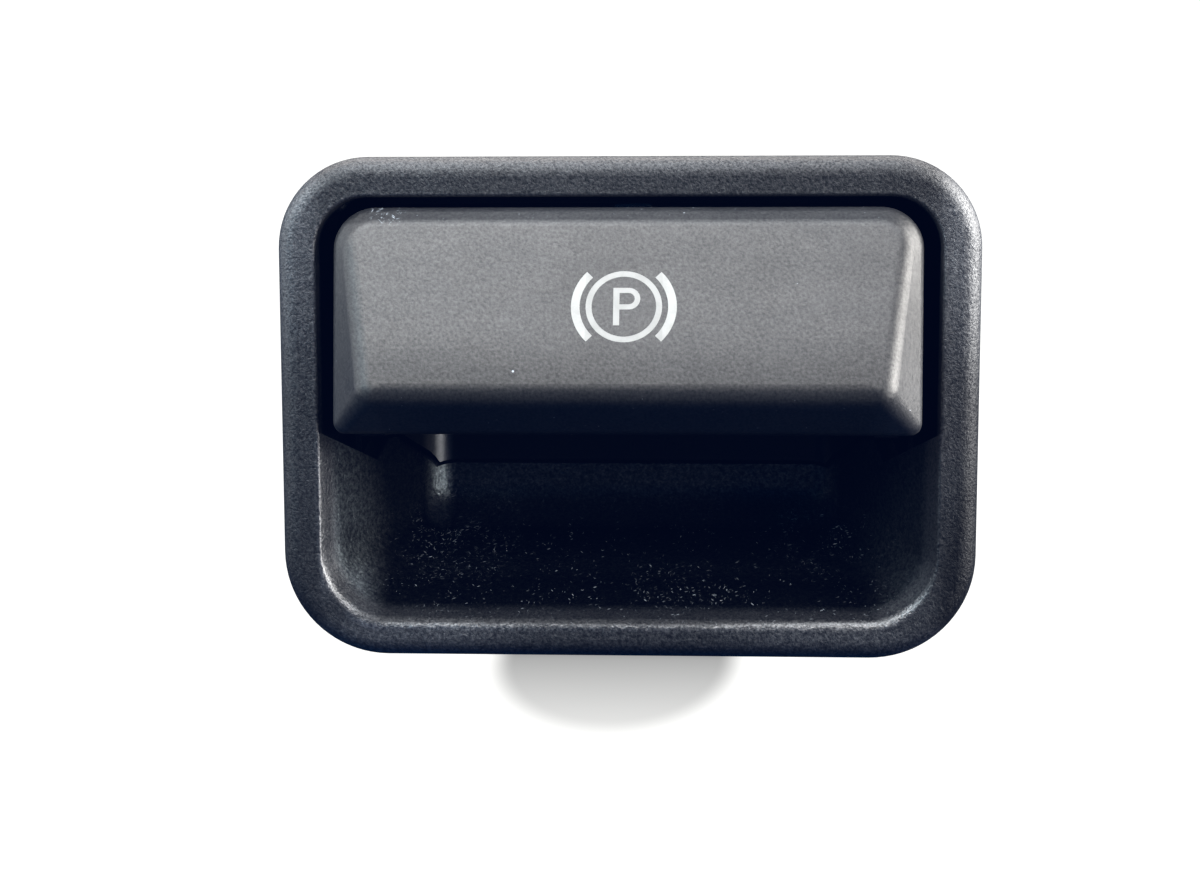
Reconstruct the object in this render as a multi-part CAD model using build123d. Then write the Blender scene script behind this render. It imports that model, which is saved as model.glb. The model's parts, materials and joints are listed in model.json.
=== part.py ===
from build123d import *
import math
import os

# Parking brake switch for a dashboard panel. Millimetres.
# +X right, +Y into the panel, +Z up. The visible face looks along -Y.
# Origin: centre of the flat seat behind the bezel, which rests on the panel.

# ---------------------------------------------------------------- bezel
BEZEL_W, BEZEL_H, BEZEL_T = 66.0, 47.5, 3.0
BEZEL_R_TOP, BEZEL_R_BOTTOM = 8.6, 10.0
BEZEL_EDGE_R = 1.9
OPEN_HW = 29.2                 # half width of the opening
OPEN_TOP, OPEN_BOTTOM = 19.95, -20.2
OPEN_R_TOP, OPEN_R_BOTTOM = 4.8, 6.8
RIM_R_SIDE, RIM_R_FLOOR = 0.35, 1.3   # rounding of the opening's front edge
RIM_STEPS = (0.0, 0.01, 0.03, 0.06, 0.10, 0.15, 0.22, 0.31, 0.42, 0.55, 0.72)
COLLAR_W, COLLAR_H, COLLAR_LEN = 60.5, 42.5, 17.0
COLLAR_WALL = 1.05
# ---------------------------------------------------------------- finger bowl
BOWL_DEPTH = 14.0              # y of the back wall
BOWL_BACK_HW = 19.9
BOWL_BACK_FLOOR = -11.2
BOWL_BACK_R = 2.4
BOWL_FLOOR_R = 3.0
BOWL_WALL = 1.8
SEAM_GAP = 0.35
# ---------------------------------------------------------------- paddle
HINGE_Y, HINGE_Z = 4.0, 14.0
PUSH_DEG, PULL_DEG = 6.0, -6.0
FACE_TOP = (-4.4, 17.6)        # y, z of the face's upper edge
FACE_BOTTOM = (-11.6, 1.9)
LIP_BOTTOM = (-7.6, -1.75)
CROWN_FRONT = (-2.9, 19.05)
CROWN_END = 6.0                # y of the crown's rear edge
PADDLE_HW = 27.45
COVER_WALL = 1.6
WEB_IN = 23.4                  # inner side of the side webs
WEB_OUT = 25.7
PIN_R, BUSH_BORE_R, BUSH_R = 1.5, 1.54, 2.6
BOSS_IN = 27.9                 # inner face of the bezel's hinge bosses
# ---------------------------------------------------------------- symbol
SYM_X, SYM_Z = -0.12, 10.0
SYM_DEPTH = 0.5
RING_R, RING_W = 3.47, 0.54
BRACKET_R_IN, BRACKET_R_OUT = 4.02, 4.80
P_W, P_H, P_STEM, P_BOWL_H = 2.45, 3.66, 0.56, 2.12
P_SHIFT = 0.26                 # the letter stands a little right of the ring's centre
# ---------------------------------------------------------------- switch box
BOX_FRONT, BOX_REAR, COVER_REAR = 17.0, 34.0, 36.0
BOX_WALL = 1.6
PARTING, PANEL_DEPTH = 0.3, 0.5
POST_X, POST_Z, POST_R = 26.6, 17.5, 2.4
BOARD_FRONT, BOARD_T = 28.0, 1.6
ARM_LEN, ARM_Z = 20.0, 4.0     # drive arm tip: behind the hinge, height
ARM_TIP_R = 1.4
SLIDER_HALF_W, SLIDER_LOW, SLIDER_HIGH = 12.0, -2.0, 10.0
GUIDE_Z = 9.7                  # height of the light guide
SOCKET_Z = -8.0
SOCKET_END = 46.0

made = {}
os.makedirs("parts", exist_ok=True)


def save(name, shape):
    made[name] = shape
    solids = shape.solids()
    out = solids[0] if len(solids) == 1 else Compound(children=list(solids))
    export_step(out, f"parts/{name}.step")
    print(f"{name:28s} solids {len(solids)} volume {sum(s.volume for s in solids):9.1f}")


def yz_prism(points, x0, x1):
    face = make_face(Polyline(*[(x0, y, z) for y, z in points], close=True))
    return extrude(face, amount=x1 - x0, dir=(1, 0, 0))


def xz_face(sketch, y):
    return Plane(origin=(0, y, 0), x_dir=(1, 0, 0), z_dir=(0, -1, 0)) * sketch


def along_y(sketch, y0, y1):
    return extrude(xz_face(sketch, y0), amount=y1 - y0, dir=(0, 1, 0))


def block(x0, x1, y0, y1, z0, z1):
    return Pos((x0 + x1) / 2, (y0 + y1) / 2, (z0 + z1) / 2) * Box(abs(x1 - x0), abs(y1 - y0), abs(z1 - z0))


def rod_y(x, z, r, y0, y1):
    return Pos(x, (y0 + y1) / 2, z) * Rot(90, 0, 0) * Cylinder(r, abs(y1 - y0))


def rod_x(y, z, r, x0, x1):
    return Pos((x0 + x1) / 2, y, z) * Rot(0, 90, 0) * Cylinder(r, abs(x1 - x0))


def rod_z(x, y, r, z0, z1):
    return Pos(x, y, (z0 + z1) / 2) * Cylinder(r, abs(z1 - z0))


def round_rect(x0, x1, z0, z1, r_top, r_bottom):
    s = Pos((x0 + x1) / 2, (z0 + z1) / 2) * Rectangle(x1 - x0, z1 - z0)
    if r_top:
        s = fillet(s.vertices().group_by(Axis.Y)[-1], r_top)
    if r_bottom:
        s = fillet(s.vertices().group_by(Axis.Y)[0], r_bottom)
    return s


def mirror_x(shape):
    return mirror(shape, about=Plane.YZ)


def both(shape):
    return shape + mirror_x(shape)


# Half width and floor of the finger bowl at a depth y.
def bowl_hw(y):
    return OPEN_HW + (BOWL_BACK_HW - OPEN_HW) * (y + BEZEL_T) / (BOWL_DEPTH + BEZEL_T)


def bowl_floor(y):
    return OPEN_BOTTOM + (BOWL_BACK_FLOOR - OPEN_BOTTOM) * (y + BEZEL_T) / (BOWL_DEPTH + BEZEL_T)


def bowl(y0, y1, off, top, r_front, r_back):
    a = round_rect(-bowl_hw(y0) - off, bowl_hw(y0) + off, bowl_floor(y0) - off, top, 0, r_front)
    b = round_rect(-bowl_hw(y1) - off, bowl_hw(y1) + off, bowl_floor(y1) - off, top, 0, r_back)
    return loft([xz_face(a, y0), xz_face(b, y1)])


# ------------------------------------------------------------- seam between the fixed bowl and the moving backstop
# Behind the hinge the seam is a cylinder about the hinge. At each side it is a scarf: a plane that rises outwards,
# steep enough that the two sides part as the paddle is pulled and only slide as it is pushed.
SEAM_A = (bowl_hw(13.3), 13.3, -6.5)
SEAM_B = (bowl_hw(7.8), 7.8, -3.5)


def scarf_plane(shift, side):
    a, b = Vector(*SEAM_A), Vector(*SEAM_B)
    slope = (OPEN_HW - BOWL_BACK_HW) / (BOWL_DEPTH + BEZEL_T)
    n_len = math.hypot(1, slope)
    out = Vector(1 / n_len, slope / n_len, 0)
    rise = math.radians(65)
    v = out * math.cos(rise) + Vector(0, 0, math.sin(rise))
    n = (b - a).cross(v).normalized()
    if n.Z < 0:
        n = n * -1
    o = a + n * shift
    if side < 0:
        o, n = Vector(-o.X, o.Y, o.Z), Vector(-n.X, n.Y, n.Z)
    return Plane(origin=o, z_dir=n)


def above_scarfs(shift, y0):
    s = block(-40, 40, y0, 40, -30, 40)
    for side in (1, -1):
        s = split(s, bisect_by=scarf_plane(shift, side), keep=Keep.TOP)
    return s


SEAM_R = math.hypot(13.75 - HINGE_Y, HINGE_Z + 6.8)


# ================================================================ paddle hood
FACE_HW_TOP, FACE_HW_BOTTOM = 26.05, 23.65
PADDLE_HW_LIP = 26.95
FACE_R, FACE_R_LOW, SHOULDER_R, LIP_R = 2.6, 2.0, 3.9, 1.1
REAR_Y, REAR_TOP, REAR_BOTTOM = 9.0, 17.9, -2.7


def quad(hw_top, hw_bottom, low, high, r_top, r_low):
    q = make_face(Polyline((-hw_bottom, low), (hw_bottom, low), (hw_top, high), (-hw_top, high), close=True))
    q = fillet(q.vertices().group_by(Axis.Y)[-1], r_top)
    return fillet(q.vertices().group_by(Axis.Y)[0], r_low)


def up_plane(low, high, back):
    """Plane through two (y, z) points, facing the viewer and drawn back."""
    d = Vector(0, high[0] - low[0], high[1] - low[1])
    n = Vector(0, -d.Z, d.Y).normalized()
    o = Vector(0, *low) - n * back
    return Plane(origin=o, x_dir=(1, 0, 0), z_dir=n), d.length


def hood(off):
    """Outer form of the paddle, drawn in by off: face, bevelled shoulder, rear."""
    face, face_len = up_plane(FACE_BOTTOM, FACE_TOP, off)
    shoulder, sh_len = up_plane(LIP_BOTTOM, CROWN_FRONT, 0.41 * off)
    s1 = face * quad(FACE_HW_TOP - 0.41 * off, FACE_HW_BOTTOM - 0.41 * off, 0.61 * off, face_len - 0.41 * off,
                     FACE_R - 0.3 * off, FACE_R_LOW - 0.3 * off)
    s2 = shoulder * quad(PADDLE_HW - off, PADDLE_HW_LIP - off, off, sh_len - off, SHOULDER_R - off, LIP_R)
    s3 = Plane(origin=(0, REAR_Y, 0), x_dir=(1, 0, 0), z_dir=(0, -1, 0)) * quad(
        PADDLE_HW - off, PADDLE_HW - off, REAR_BOTTOM + off, REAR_TOP - off, SHOULDER_R - off, LIP_R)
    return loft([s1, s2, s3], ruled=True), face, shoulder


SIDE_REAR = 0.0                # rear edge of the cover's side walls
outer, face_pl, shoulder_pl = hood(0.0)
inner, _, _ = hood(COVER_WALL)


def try_fillet(shape, edges, radii):
    for r in radii:
        try:
            done = fillet(edges, r)
            if done.solids()[0].is_valid and abs(done.volume - shape.volume) < 0.2 * shape.volume:
                print("fillet", r, "on", len(edges), "edges")
                return done
        except Exception as e:
            pass
    print("fillet left out on", len(edges), "edges")
    return shape


def on_plane(shape, pl):
    return ShapeList([e for e in shape.edges() if all(abs((e.position_at(t) - pl.origin).dot(pl.z_dir)) < 1e-3 for t in (0, 0.5, 1))])


outer_soft = try_fillet(outer, on_plane(outer, shoulder_pl), (1.5, 1.3, 1.1, 0.8, 0.6, 0.4))
outer_soft = try_fillet(outer_soft, on_plane(outer_soft, face_pl), (2.0, 1.8, 1.6, 1.4, 1.2, 1.0))
# the underside and the side walls end at SIDE_REAR, only the crown runs on to the rear
rear_cut = block(-30, 30, SIDE_REAR, 12, -8, 15.8) + block(-30, 30, CROWN_END, 12, 10, 22)
cover = outer_soft - inner - rear_cut
# the wall that the hood shape leaves under the finger space is open between the side walls
cover = cover - block(-WEB_IN, WEB_IN, -6.1, 12, -4.0, 1.5)

# ------------------------------------------------------------- symbol, set flush in the face
ang = math.atan2(FACE_TOP[0] - FACE_BOTTOM[0], FACE_TOP[1] - FACE_BOTTOM[1])
fy = FACE_TOP[0] - (FACE_TOP[1] - SYM_Z) * math.tan(ang)
face_plane = Plane(origin=(SYM_X, fy, SYM_Z), x_dir=(1, 0, 0), z_dir=(0, -math.cos(ang), math.sin(ang)))
ring = Circle(RING_R) - Circle(RING_R - RING_W)
wedge = make_face(Polyline((0, 0), (8, 8), (8, -8), close=True))
bracket = (Circle(BRACKET_R_OUT) - Circle(BRACKET_R_IN)) & wedge
brackets = bracket + mirror(bracket, about=Plane.YZ)
x0, x1 = -P_W / 2 + P_SHIFT, P_W / 2 + P_SHIFT
zt, zb = P_H / 2, -P_H / 2
rb = P_BOWL_H / 2
p_out = Pos(x0 + P_STEM / 2, 0) * Rectangle(P_STEM, P_H)
lobe = Pos((x0 + x1 - rb) / 2, zt - rb) * Rectangle(x1 - rb - x0, P_BOWL_H) + Pos(x1 - rb, zt - rb) * Circle(rb)
ri = rb - P_STEM * 0.9
hole = Pos((x0 + P_STEM + x1 - rb) / 2, zt - rb) * Rectangle(x1 - rb - x0 - P_STEM, 2 * ri) + Pos(x1 - rb, zt - rb) * Circle(ri)
letter = p_out + (lobe - hole)
pieces = []
for sk in (ring, brackets, letter):
    pieces.append(extrude(face_plane * sk, amount=-SYM_DEPTH))
symbol = pieces[0] + pieces[1] + pieces[2]
cover = cover - symbol
save("paddle_cover", cover)
save("symbol_inlay", symbol)

# ------------------------------------------------------------- light diffuser behind the face
dif = yz_prism([(-12, 6.4), (-3.4, 6.7), (-3.4, 14.4), (-12, 14.4)], SYM_X - 5.6, SYM_X + 5.6) & inner
save("light_diffuser", dif)

# ------------------------------------------------------------- paddle frame
pocket = bowl(-12.0, BOWL_DEPTH, 0.0, 12.0, 5.0, BOWL_BACK_R) & block(-WEB_IN, WEB_IN, -20, 20, -30, 30)
pocket_side = yz_prism([(-5.6, -20), (-5.2, 4.3), (15, 4.9), (15, -20)], -30, 30)
pk_edges = [e for e in pocket_side.edges() if abs(e.tangent_at(0.5).X) > 0.9 and e.center().Z > 0 and e.center().Y < 5]
pocket_side = fillet(pk_edges, 2.4)
pocket = pocket & pocket_side
pk_edges = [e for e in pocket.edges() if abs(e.center().Y - BOWL_DEPTH) < 0.05 and e.center().Z > -10
            and (e.length > 20 and e.center().Z > 4.0 or abs(e.center().X) > BOWL_BACK_HW - 0.6 and abs(e.tangent_at(0.5).Z) > 0.9)]
pocket = try_fillet(pocket, ShapeList(pk_edges), (BOWL_FLOOR_R, 2.6, 2.0))
shell_out = bowl(-14.0, BOWL_DEPTH + 1.7, 1.9, 12.0, 5.0, BOWL_BACK_R + 1.0)
shell_out = shell_out & yz_prism([(-9.2, -2.0), (4.3, -3.1), (6.7, -3.1), (7.6, -9.0), (16, -9.0), (16, 6.7), (-9.2, 6.1)],
                                 -WEB_OUT, WEB_OUT)
# side webs with the hinge bosses
web = yz_prism([(-9.2, -1.9), (4.3, -3.1), (6.7, -3.1), (9.4, 1.0), (9.4, 6.0), (8.2, 15.0), (6.6, 17.0),
                (1.2, 17.4), (-5.2, 17.4), (-9.2, 8.0)], WEB_IN, WEB_OUT)
web = web + rod_x(HINGE_Y, HINGE_Z, 3.4, WEB_OUT, WEB_OUT + 1.1)
frame = shell_out - pocket
frame = frame + both(web - pocket)
hood_zone = inner + block(-30, 30, SIDE_REAR, 20, -12, 15.8)
frame = frame & hood_zone
# trim along the seam
trim = (above_scarfs(0.14, 6.7) & rod_x(HINGE_Y, HINGE_Z, SEAM_R, -40, 40)) + block(-40, 40, -20, 6.7, -3.1, 40)
frame = frame & trim
# drive arms behind the backstop
tip_y = HINGE_Y + ARM_LEN
for sx in (-8.0, 8.0):
    arm = yz_prism([(14.6, ARM_Z - 3.2), (14.6, ARM_Z + 2.6), (19.6, ARM_Z + 1.0), (tip_y, ARM_Z + 1.0),
                    (tip_y, ARM_Z - 1.0), (19.6, ARM_Z - 1.0)], sx - 1.8, sx + 1.8)
    frame = frame + arm + rod_x(tip_y, ARM_Z, ARM_TIP_R, sx - 1.8, sx + 1.8)
for s in (1, -1):
    frame = frame - rod_x(HINGE_Y, HINGE_Z, PIN_R, s * 20, s * 30)
save("paddle_frame", frame)
PIN_IN, PIN_END = WEB_IN, 29.9
save("pivot_pin_right", chamfer(rod_x(HINGE_Y, HINGE_Z, PIN_R, PIN_IN, PIN_END).edges().filter_by(GeomType.CIRCLE), 0.25))
save("pivot_pin_left", chamfer(rod_x(HINGE_Y, HINGE_Z, PIN_R, -PIN_END, -PIN_IN).edges().filter_by(GeomType.CIRCLE), 0.25))

# ================================================================ bezel
ring_body = along_y(round_rect(-BEZEL_W / 2, BEZEL_W / 2, -BEZEL_H / 2, BEZEL_H / 2, BEZEL_R_TOP, BEZEL_R_BOTTOM), -BEZEL_T, 0)
ring_body = fillet(ring_body.edges().group_by(Axis.Y)[0], BEZEL_EDGE_R)
cw, ch = COLLAR_W / 2, COLLAR_H / 2
collar = along_y(round_rect(-cw, cw, -ch, ch, 4.0, 4.0), 0, COLLAR_LEN)
ci = cw - COLLAR_WALL
cz = ch - COLLAR_WALL
collar = chamfer(collar.edges().group_by(Axis.Y)[-1], PARTING)
collar_in = along_y(round_rect(-ci, ci, -cz, cz, 2.95, 2.95), 0, COLLAR_LEN + 1)
bowl_out = bowl(-1.0, BOWL_DEPTH + BOWL_WALL, BOWL_WALL, 6.0, 7.6, BOWL_BACK_R + 1.4) & block(-ci, ci, -1, 20, -cz, -0.4)


def rim_offset(w, r, slant):
    """How far the rounded front edge stands outside the wall's line at a depth w."""
    turn = math.pi / 2 - slant
    if w < r * (1 - math.cos(turn)):
        return r * math.tan(turn / 2) - math.sqrt(max(r * r - (r - w) ** 2, 0.0))
    return -w * math.tan(slant)


def rim_section(w, side_slant, floor_slant, floor, r_top, r_floor, y):
    du = rim_offset(w, RIM_R_SIDE, side_slant)
    dt = rim_offset(w, RIM_R_SIDE, 0.0)
    df = rim_offset(w, RIM_R_FLOOR, floor_slant)
    return xz_face(round_rect(-OPEN_HW - du, OPEN_HW + du, floor - df, OPEN_TOP + dt if r_top else OPEN_TOP - 6,
                              r_top + dt if r_top else 0, r_floor + min(du, 0.3) if r_floor else 0), y)


SIDE_SLANT = math.atan((OPEN_HW - BOWL_BACK_HW) / (BOWL_DEPTH + BEZEL_T))
FLOOR_SLANT = math.atan((BOWL_BACK_FLOOR - OPEN_BOTTOM) / (BOWL_DEPTH + BEZEL_T))
cuts = [rim_section(0, SIDE_SLANT, FLOOR_SLANT, OPEN_BOTTOM, 0, OPEN_R_BOTTOM, -BEZEL_T - 1)]
cuts += [rim_section(w, SIDE_SLANT, FLOOR_SLANT, OPEN_BOTTOM, 0, OPEN_R_BOTTOM, -BEZEL_T + w) for w in RIM_STEPS]
cuts.append(xz_face(round_rect(-BOWL_BACK_HW, BOWL_BACK_HW, BOWL_BACK_FLOOR, OPEN_TOP - 6, 0, BOWL_BACK_R), BOWL_DEPTH))
bowl_in = loft(cuts, ruled=True)
fl_edges = [e for e in bowl_in.edges() if abs(e.center().Y - BOWL_DEPTH) < 0.05 and e.center().Z < 5 ]
bowl_in = try_fillet(bowl_in, ShapeList(fl_edges), (BOWL_FLOOR_R, 2.6, 2.2, 1.8))
bezel = ring_body + (collar - collar_in)
# the front opening through the ring
cuts = [rim_section(0, 0.0, 0.0, -12.0, OPEN_R_TOP, 0, -BEZEL_T - 1)]
cuts += [rim_section(w, 0.0, 0.0, -12.0, OPEN_R_TOP, 0, -BEZEL_T + w) for w in RIM_STEPS]
cuts.append(rim_section(2.0, 0.0, 0.0, -12.0, OPEN_R_TOP, 0, 0.0))
opening = loft(cuts, ruled=True)
# the notch that the side webs swing in is open at the front above its sloping floor
NOTCH_TOP = [(9.7, -3.7), (9.7, 24), (-BEZEL_T - 2, 24)]
above_notch = yz_prism([(-BEZEL_T - 2, -1.15), (5.0, -5.75), (6.4, -3.7)] + NOTCH_TOP, -40, 40)
opening = opening & above_notch
notch = above_notch & block(-ci, ci, -0.5, 9.8, -10, cz)
rear_space = above_scarfs(-0.26, 7.95) & rod_x(HINGE_Y, HINGE_Z, SEAM_R + SEAM_GAP, -40, 40) & block(-ci, ci, 7.9, 40, -12, cz)
bezel = bezel + bowl_out
bezel = bezel - bowl_in - opening
bezel = bezel - rear_space - notch
# bosses for the hinge bushes, and posts for the housing screws
for s in (1, -1):
    bezel = bezel + rod_x(HINGE_Y, HINGE_Z, 4.4, s * BOSS_IN, s * ci)
    bezel = bezel - rod_x(HINGE_Y, HINGE_Z, BUSH_R, s * 27, s * 31)
    for z in (POST_Z, -POST_Z):
        post = rod_y(s * POST_X, z, POST_R, 10.6, COLLAR_LEN) + block(min(s * POST_X, s * ci), max(s * POST_X, s * ci), 10.6, COLLAR_LEN,
                                                                         min(z, math.copysign(cz, z)), max(z, math.copysign(cz, z)))
        bezel = bezel + post
        bezel = bezel - rod_y(s * POST_X, z, 1.1, 11.2, COLLAR_LEN + 1)
save("bezel", bezel)
for s, n in ((1, "right"), (-1, "left")):
    bush = rod_x(HINGE_Y, HINGE_Z, BUSH_R, s * BOSS_IN, s * cw) - rod_x(HINGE_Y, HINGE_Z, BUSH_BORE_R, s * 27, s * 31)
    save(f"pivot_bush_{n}", bush)

# ================================================================ retaining clips on the collar
clip_path = Polyline((13.4, ch + 0.225), (3.4, ch + 0.225), (6.2, ch + 1.7), (11.8, ch + 0.75))
clip_face = trace(clip_path, 0.45)
for z, zn in ((1, "top"), (-1, "bottom")):
    for s, n in ((1, "right"), (-1, "left")):
        f = Plane.YZ * clip_face
        c = extrude(Pos(s * 17 - 4, 0, 0) * f, amount=8, dir=(1, 0, 0))
        c = c & block(-40, 40, 2.7, 20, ch, ch + 3)
        if z < 0:
            c = mirror(c, about=Plane.XY)
        save(f"retaining_clip_{zn}_{n}", c)

# ================================================================ housing
hz = ch
box_out = along_y(round_rect(-cw, cw, -ch, ch, 4.0, 4.0), BOX_FRONT, BOX_REAR)
bi, bz = cw - BOX_WALL, ch - BOX_WALL
box_out = chamfer(box_out.edges().group_by(Axis.Y)[0] + box_out.edges().group_by(Axis.Y)[-1], PARTING)
box_in = along_y(round_rect(-bi, bi, -bz, bz, 2.4, 2.4), BOX_FRONT - 1, BOX_REAR + 1)
for s in (1, -1):
    # shallow panels moulded into the box: three on the top and bottom, two on each side
    for x in (-17.0, 0.0, 17.0):
        box_out = box_out - block(x - 6.5, x + 6.5, BOX_FRONT + 3.0, BOX_REAR - 3.0, s * (ch - PANEL_DEPTH), s * (ch + 1))
    for z in (-8.5, 8.5):
        box_out = box_out - block(s * (cw - PANEL_DEPTH), s * (cw + 1), BOX_FRONT + 3.0, BOX_REAR - 3.0, z - 6.5, z + 6.5)
housing = box_out - box_in
for s in (1, -1):
    for z in (POST_Z, -POST_Z):
        housing = housing + rod_y(s * POST_X, z, POST_R, BOX_FRONT, BOX_REAR) + block(
            min(s * POST_X, s * bi), max(s * POST_X, s * bi), BOX_FRONT, BOX_REAR,
            min(z, math.copysign(bz, z)), max(z, math.copysign(bz, z)))
# guide frame for the slider
FR_X, FR_LOW, FR_HIGH = 15.6, -11.6, bz + 0.2
housing = housing + (block(-FR_X, FR_X, 22.0, 27.5, FR_LOW, FR_HIGH) - block(-12.2, 12.2, 21, 28, -9.6, 17.6))
for s in (1, -1):
    housing = housing - block(min(s * 12.2, s * 13.9), max(s * 12.2, s * 13.9), 23.3, 25.7, -9.6, 17.6)
    for z in (-9.6, 13.0):
        housing = housing + block(min(s * FR_X, s * (bi + 0.3)), max(s * FR_X, s * (bi + 0.3)), 24.0, 26.0, z - 0.9, z + 0.9)
    # bosses for the board screws
    for z in (-14.2, 15.2):
        housing = housing + rod_y(s * 19.5, z, 2.2, 24.0, BOARD_FRONT) + block(
            s * 19.5 - 0.8, s * 19.5 + 0.8, 24.0, BOARD_FRONT - 0.4, min(z, math.copysign(bz + 0.2, z)), max(z, math.copysign(bz + 0.2, z)))
        housing = housing - rod_y(s * 19.5, z, 0.9, 24.6, BOARD_FRONT + 1)
    for z in (POST_Z, -POST_Z):
        housing = housing - rod_y(s * POST_X, z, 1.1, BOX_FRONT - 1, BOX_REAR + 1)
save("housing", housing)

# ------------------------------------------------------------- circuit board
board = along_y(round_rect(-23.4, 23.4, -17.6, 18.0, 1.0, 1.0), BOARD_FRONT, BOARD_FRONT + BOARD_T)
for s in (1, -1):
    for z in (-14.2, 15.2):
        board = board - rod_y(s * 19.5, z, 1.1, BOARD_FRONT - 1, BOARD_FRONT + BOARD_T + 1)
PINS = [-6.35 + 2.54 * i for i in range(6)]
for px in PINS:
    board = board - block(px - 0.32, px + 0.32, 27, 31, SOCKET_Z - 0.32, SOCKET_Z + 0.32)
save("circuit_board", board)
back = BOARD_FRONT + BOARD_T
chips = [block(-6, 2.5, back, back + 1.5, 4, 11), block(8, 14, back, back + 1.2, 5, 9), block(-15, -11, back, back + 2.0, 3, 7),
         block(-16, -12.6, back, back + 1.1, -6, -1), block(10, 11.6, back, back + 0.8, -2, 0.8), block(13, 14.6, back, back + 0.8, -2, 0.8),
         block(-20, -17.5, back, back + 2.6, 9, 11.5), block(5, 6.2, back, back + 0.6, -2, 0), block(16.5, 20.5, back, back + 2.4, 3, 7)]
parts = chips[0]
for c in chips[1:]:
    parts = parts + c
save("board_components", parts)
screws = None
for s in (1, -1):
    for z in (-14.2, 15.2):
        one = rod_y(s * 19.5, z, 0.9, 24.8, back) + rod_y(s * 19.5, z, 1.9, back, back + 1.2)
        one = one - block(s * 19.5 - 1.2, s * 19.5 + 1.2, back + 0.7, back + 2, z - 0.2, z + 0.2) \
            - block(s * 19.5 - 0.2, s * 19.5 + 0.2, back + 0.7, back + 2, z - 1.2, z + 1.2)
        screws = one if screws is None else screws + one
save("board_screws", screws)
led = block(-1.6, 1.6, BOARD_FRONT - 0.7, BOARD_FRONT, GUIDE_Z - 1.4, GUIDE_Z + 1.4) + rod_y(0, GUIDE_Z, 1.15, BOARD_FRONT - 1.1, BOARD_FRONT - 0.7)
save("symbol_led", led)
guide = rod_y(0, GUIDE_Z, 1.5, -0.8, 26.6) + block(-1.9, 1.9, 18.6, 20.4, GUIDE_Z, bz)
guide = fillet([e for e in guide.edges() if abs(e.center().Y + 0.8) < 0.01], 0.7)
save("light_guide", guide)
pins = None
for px in PINS:
    one = block(px - 0.32, px + 0.32, 27.4, 41.4, SOCKET_Z - 0.32, SOCKET_Z + 0.32)
    one = chamfer(one.faces().sort_by(Axis.Y)[-1].edges(), 0.2)
    pins = one if pins is None else pins + one
save("connector_pins", pins)

# ------------------------------------------------------------- rear cover with the connector shroud
rear = along_y(round_rect(-cw, cw, -ch, ch, 4.0, 4.0), BOX_REAR, COVER_REAR)
rear = fillet([e for e in rear.edges().group_by(Axis.Y)[-1]], 0.8)
rear = rear + along_y(round_rect(-10.8, 10.8, SOCKET_Z - 5.2, SOCKET_Z + 5.2, 1.2, 1.2), COVER_REAR - 0.5, SOCKET_END)
rear = rear - along_y(round_rect(-9.3, 9.3, SOCKET_Z - 3.7, SOCKET_Z + 3.7, 0.8, 0.8), COVER_REAR, SOCKET_END + 1)
# latch window and coding slot of the shroud
rear = rear - block(-2.2, 2.2, 40.0, 43.0, SOCKET_Z + 3, SOCKET_Z + 6)
rear = rear - block(5.4, 6.8, COVER_REAR + 2, SOCKET_END + 1, SOCKET_Z - 4.4, SOCKET_Z - 3.6)
# ejector marks and a shallow field between the ribs
for x in (-21.0, 21.0):
    for z in (-9.0, 9.5):
        rear = rear - rod_y(x, z, 1.6, COVER_REAR - 0.15, COVER_REAR + 1)
rear = rear - block(-12.0, 12.0, COVER_REAR - 0.3, COVER_REAR + 1, 4.0, 15.0)
# ramp that the plug's latch rides over
rear = rear + yz_prism([(COVER_REAR - 0.2, SOCKET_Z + 5.1), (COVER_REAR - 0.2, SOCKET_Z + 6.9), (COVER_REAR + 1.4, SOCKET_Z + 6.9),
                        (COVER_REAR + 3.4, SOCKET_Z + 5.1)], -3.0, 3.0)
# stiffening ribs
for x in (-24.0, -18.0, 18.0, 24.0):
    rear = rear + block(x - 0.5, x + 0.5, COVER_REAR - 0.4, COVER_REAR + 0.8, -12.5, 13.0)
for px in PINS:
    rear = rear - block(px - 0.32, px + 0.32, 33, 38, SOCKET_Z - 0.32, SOCKET_Z + 0.32)
for s in (1, -1):
    for z in (POST_Z, -POST_Z):
        rear = rear - rod_y(s * POST_X, z, 1.1, 33, 38)
save("rear_cover", rear)
long_screws = None
for s in (1, -1):
    for z in (POST_Z, -POST_Z):
        one = rod_y(s * POST_X, z, 1.1, 12.0, COVER_REAR) + rod_y(s * POST_X, z, 2.1, COVER_REAR, COVER_REAR + 1.7)
        one = fillet([e for e in one.edges() if abs(e.center().Y - COVER_REAR - 1.7) < 0.01], 0.6)
        one = one - block(s * POST_X - 1.3, s * POST_X + 1.3, COVER_REAR + 0.9, COVER_REAR + 3, z - 0.28, z + 0.28) \
            - block(s * POST_X - 0.28, s * POST_X + 0.28, COVER_REAR + 0.9, COVER_REAR + 3, z - 1.3, z + 1.3)
        long_screws = one if long_screws is None else long_screws + one
save("housing_screws", long_screws)

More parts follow.
